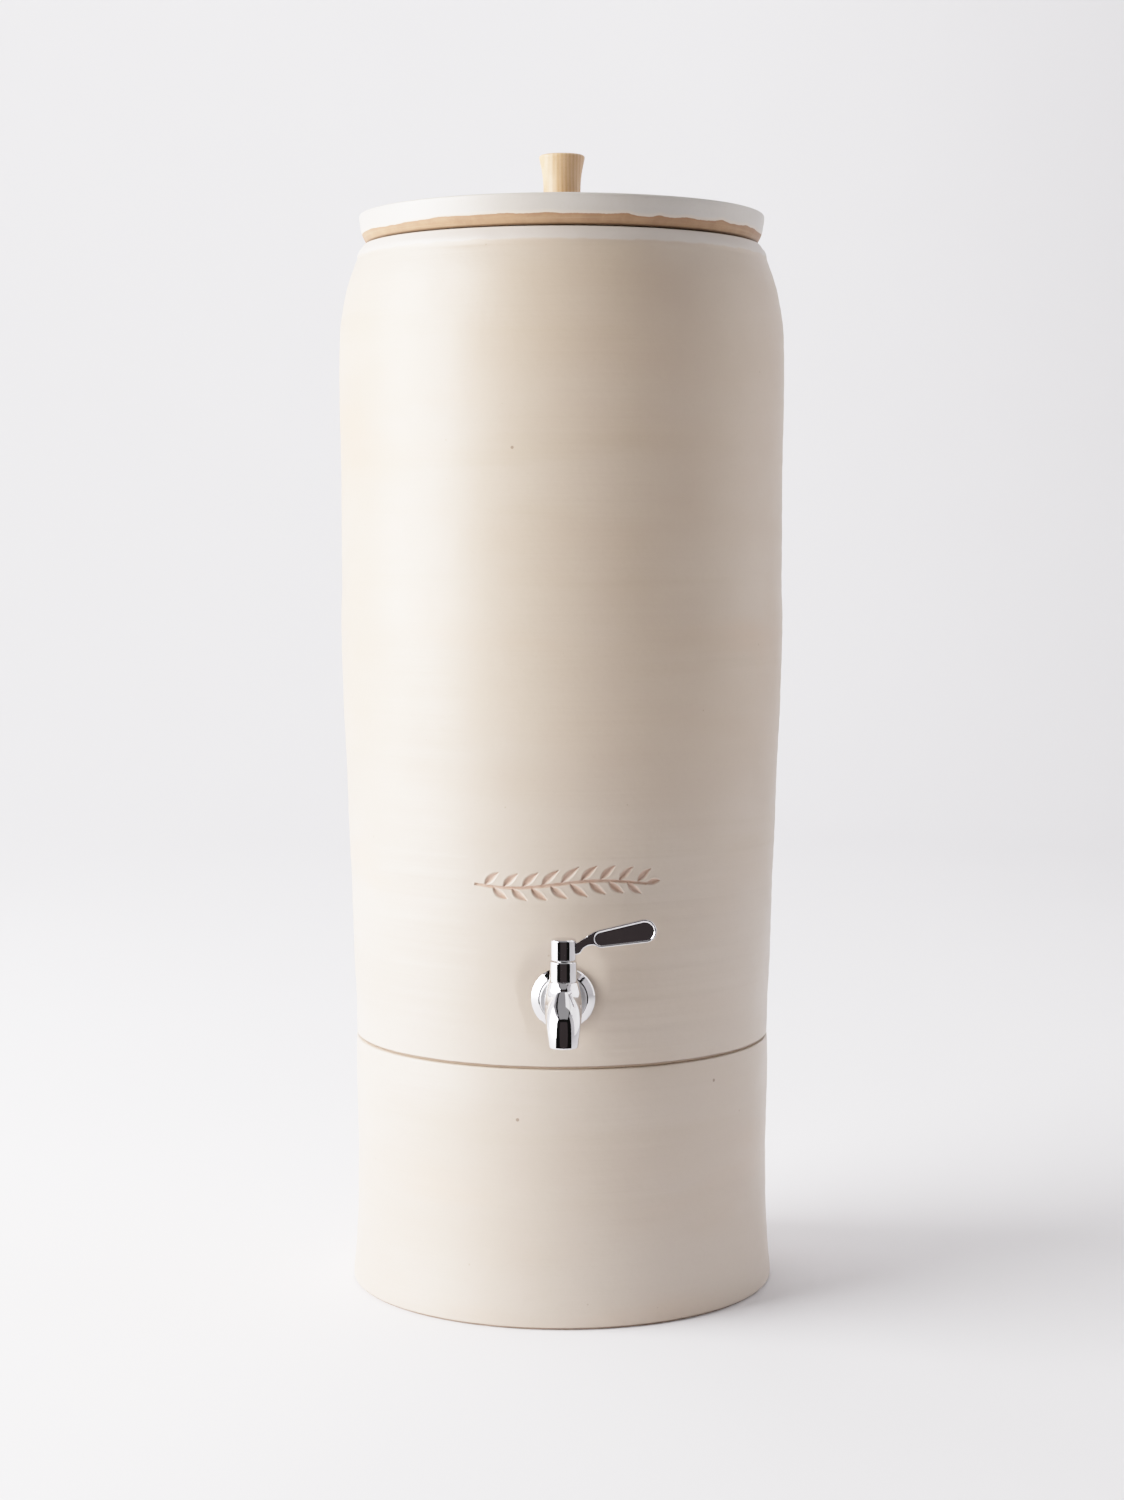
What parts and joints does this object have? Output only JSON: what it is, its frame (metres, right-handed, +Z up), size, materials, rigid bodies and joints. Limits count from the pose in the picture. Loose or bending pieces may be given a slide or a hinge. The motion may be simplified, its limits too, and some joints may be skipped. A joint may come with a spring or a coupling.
{
  "type": "gravity water filter",
  "caption": "Tall stoneware gravity water filter on a round stand, with a lidded filter chamber inside the crock, ceramic candles, a wooden lid knob and a chromed lever tap.",
  "frame": {"origin": "centre of the stand's foot, on the axis of the crock", "axes": "+Z up along the crock's axis, the tap towards -Y, the shut lever towards +X"},
  "size_m": [0.2483, 0.2898, 0.6315],
  "materials": {
    "stoneware_body": "satin matte beige glaze on stoneware, with faint throwing rings and a few specks",
    "stoneware_white": "satin off-white glaze, bare brown clay at the lid's lower edge",
    "turned_wood": "light turned wood, oiled",
    "chrome": "polished chrome plate",
    "steel": "stainless steel",
    "brass": "plain brass",
    "rubber": "black rubber",
    "silicone": "translucent white silicone rubber",
    "ptfe": "white plastic",
    "white_plastic": "white moulded plastic",
    "candle_ceramic": "unglazed porous white ceramic",
    "carbon": "pressed carbon block"
  },
  "bodies": {
    "stand": {"stand_ring": "stoneware_body"},
    "reservoir": {"crock": "stoneware_body", "tap_body": "chrome", "tap_flange": "chrome", "tap_outer_washer": "silicone", "tap_inner_washer": "silicone", "tap_back_nut": "steel", "tap_bonnet": "chrome", "valve_seat": "ptfe"},
    "chamber": {"filter_chamber": "stoneware_white", "candle_shell_left": "candle_ceramic", "carbon_core_left": "carbon", "candle_base_left": "white_plastic", "candle_gasket_left": "rubber", "candle_wing_nut_left": "white_plastic", "candle_shell_right": "candle_ceramic", "carbon_core_right": "carbon", "candle_base_right": "white_plastic", "candle_gasket_right": "rubber", "candle_wing_nut_right": "white_plastic"},
    "lid_set": {"lid": "stoneware_white", "knob": "turned_wood", "knob_insert": "brass", "knob_washer": "steel", "knob_screw": "steel"},
    "lever": {"lever_handle": "chrome", "valve_plug": "steel", "stem_o_rings": "rubber", "lever_set_screw": "steel"}
  },
  "joints": [
    {"name": "crock_lift", "type": "slide", "parent": "stand", "child": "reservoir", "axis": [0, 0, 1], "range_m": [0, 0.08]},
    {"name": "chamber_lift", "type": "slide", "parent": "reservoir", "child": "chamber", "axis": [0, 0, 1], "range_m": [0, 0.3]},
    {"name": "lid_lift", "type": "slide", "parent": "chamber", "child": "lid_set", "axis": [0, 0, 1], "range_m": [0, 0.15]},
    {"name": "lever_turn", "type": "hinge", "parent": "reservoir", "child": "lever", "pos_m": [0, -0.141, 0.178], "axis": [0, 0, 1], "range_deg": [-90, 0]}
  ]
}
